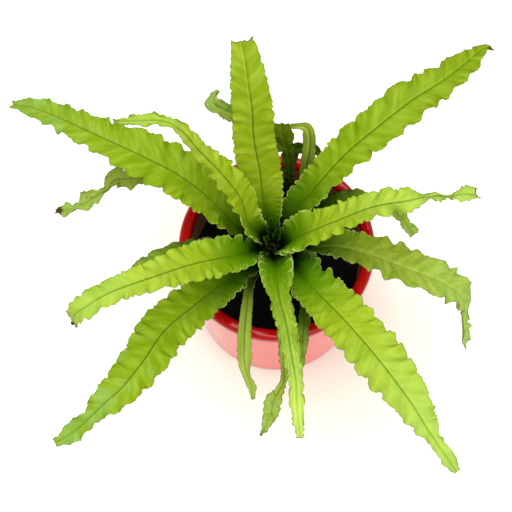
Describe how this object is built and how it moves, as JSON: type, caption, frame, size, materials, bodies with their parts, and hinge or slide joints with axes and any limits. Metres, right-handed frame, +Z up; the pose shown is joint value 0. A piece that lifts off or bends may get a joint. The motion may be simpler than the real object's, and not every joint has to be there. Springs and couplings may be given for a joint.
{
  "type": "potted birds nest fern",
  "caption": "Birds nest fern with long wavy-edged fronds fanning out from a scaly crown in a round glazed pot of soil.",
  "frame": {"origin": "middle of the pot's flat underside, on the surface it stands on", "axes": "+Z up, -Y to the plant's front (the lower edge of the picture), +X to its right as pictured"},
  "size_m": [0.3503, 0.2969, 0.2793],
  "materials": {
    "pot": "gloss",
    "soil": "matte",
    "crown": "matte",
    "leaf_bright": "satin",
    "leaf": "satin",
    "leaf_dark": "satin",
    "leaf_old": "satin",
    "leaf_young": "satin"
  },
  "bodies": {
    "root": {"pot": "pot", "soil": "soil", "crown": "crown", "frond_inner_back": "leaf_bright", "frond_inner_left_back": "leaf_bright", "frond_inner_left_front": "leaf_bright", "frond_inner_front": "leaf_bright", "frond_inner_right": "leaf_bright", "frond_middle_left_back": "leaf", "frond_middle_left_front": "leaf", "frond_middle_right_front": "leaf", "frond_middle_right_back": "leaf", "frond_low_right": "leaf_dark", "frond_low_front_left": "leaf_old", "frond_low_front_right": "leaf_dark", "frond_low_front": "leaf_old", "frond_low_back": "leaf_dark", "frond_low_back_narrow": "leaf_old", "frond_low_back_right": "leaf_dark", "frond_low_left": "leaf_dark", "frond_low_back_left": "leaf_dark", "frond_low_right_back": "leaf_dark", "frond_low_left_front": "leaf_dark", "frond_young_back": "leaf_young", "frond_young_right": "leaf_young", "frond_young_left": "leaf_young"}
  },
  "joints": []
}
